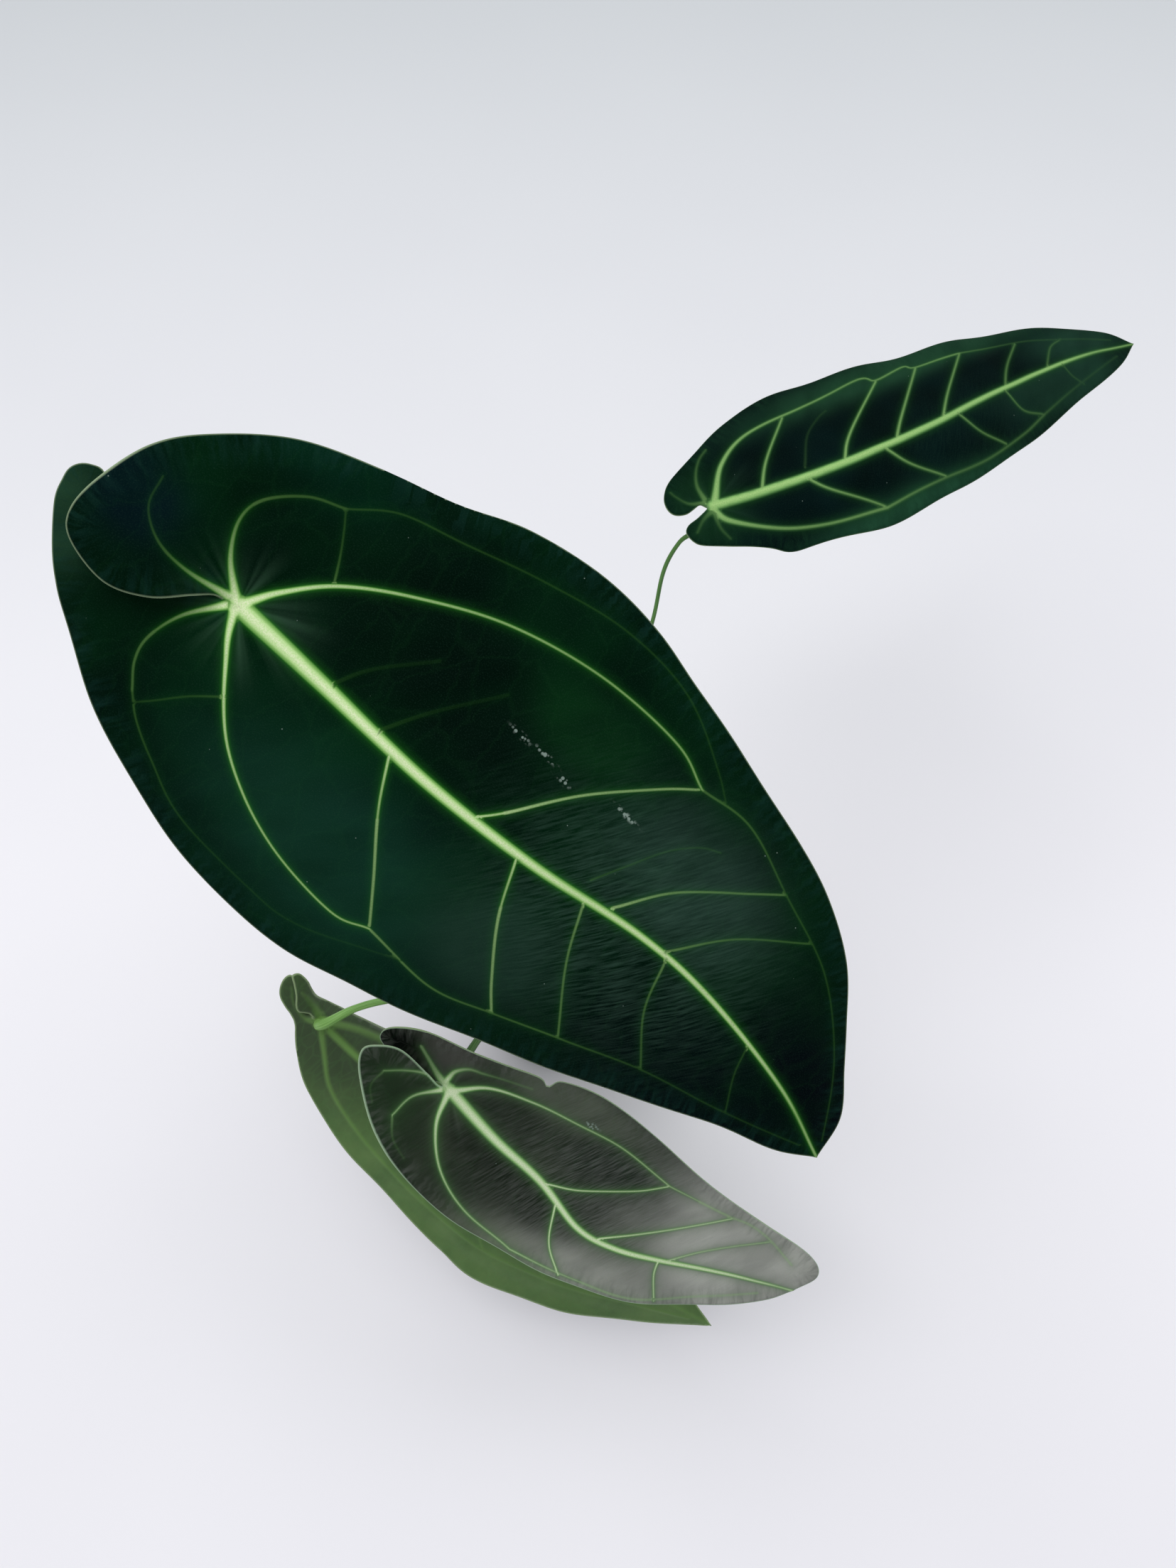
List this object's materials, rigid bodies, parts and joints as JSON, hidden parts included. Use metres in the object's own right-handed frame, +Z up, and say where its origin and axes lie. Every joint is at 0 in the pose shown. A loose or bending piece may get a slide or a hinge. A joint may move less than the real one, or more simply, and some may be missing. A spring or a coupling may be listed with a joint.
{
  "type": "potted queen anthurium",
  "caption": "Potted velvet-leaved aroid: long heart-shaped blades with pale veins on slender petioles, rising from a short stem in a plain round nursery pot.",
  "frame": {"origin": "middle of the pot's flat underside", "axes": "+Z up, the picture looks along +Y and steeply down, the large leaf points towards +X and -Y"},
  "size_m": [0.4734, 0.489, 0.5074],
  "materials": {
    "pot_plastic": "moulded nursery pot plastic, satin",
    "bark_mix": "loose bark chips and perlite",
    "stem_scales": "papery brown scale leaves and leaf scars",
    "petiole_green": "smooth green stalk, slightly waxy",
    "velvet_leaf": "dark green velvet with pale veins",
    "leaf_underside": "matt mid-green leaf underside with raised veins"
  },
  "bodies": {
    "root": {"pot": "pot_plastic", "potting_mix": "bark_mix", "stem": "stem_scales", "large_petiole": "petiole_green", "large_blade": "velvet_leaf", "narrow_petiole": "petiole_green", "narrow_blade": "velvet_leaf", "cupped_petiole": "petiole_green", "cupped_blade": "velvet_leaf", "turned_petiole": "petiole_green", "turned_blade": "leaf_underside"}
  },
  "joints": []
}
